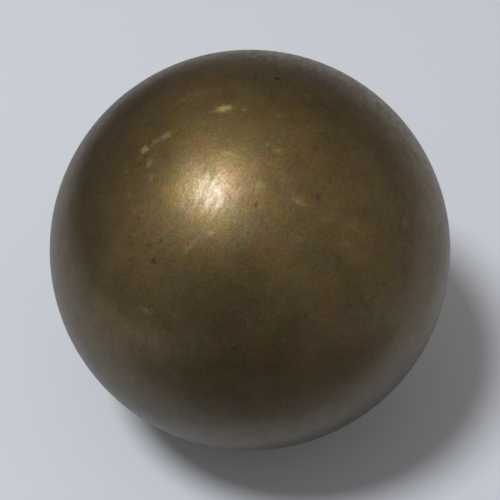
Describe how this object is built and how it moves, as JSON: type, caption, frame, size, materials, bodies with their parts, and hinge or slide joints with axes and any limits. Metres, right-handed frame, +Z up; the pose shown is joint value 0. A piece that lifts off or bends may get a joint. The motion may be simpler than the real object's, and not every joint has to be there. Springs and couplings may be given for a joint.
{
  "type": "bronze ball",
  "caption": "Solid round ball with small knocks and pits in its skin, to lie in a ring, a cup or a dish on a desk or bench.",
  "frame": {"origin": "centre of the ball", "axes": "+Z up; the knocked and pitted side faces -Y and up, and the underside is plain"},
  "size_m": [0.05, 0.05, 0.05],
  "materials": {
    "bronze": "satin"
  },
  "bodies": {
    "root": {"ball": "bronze"}
  },
  "joints": []
}
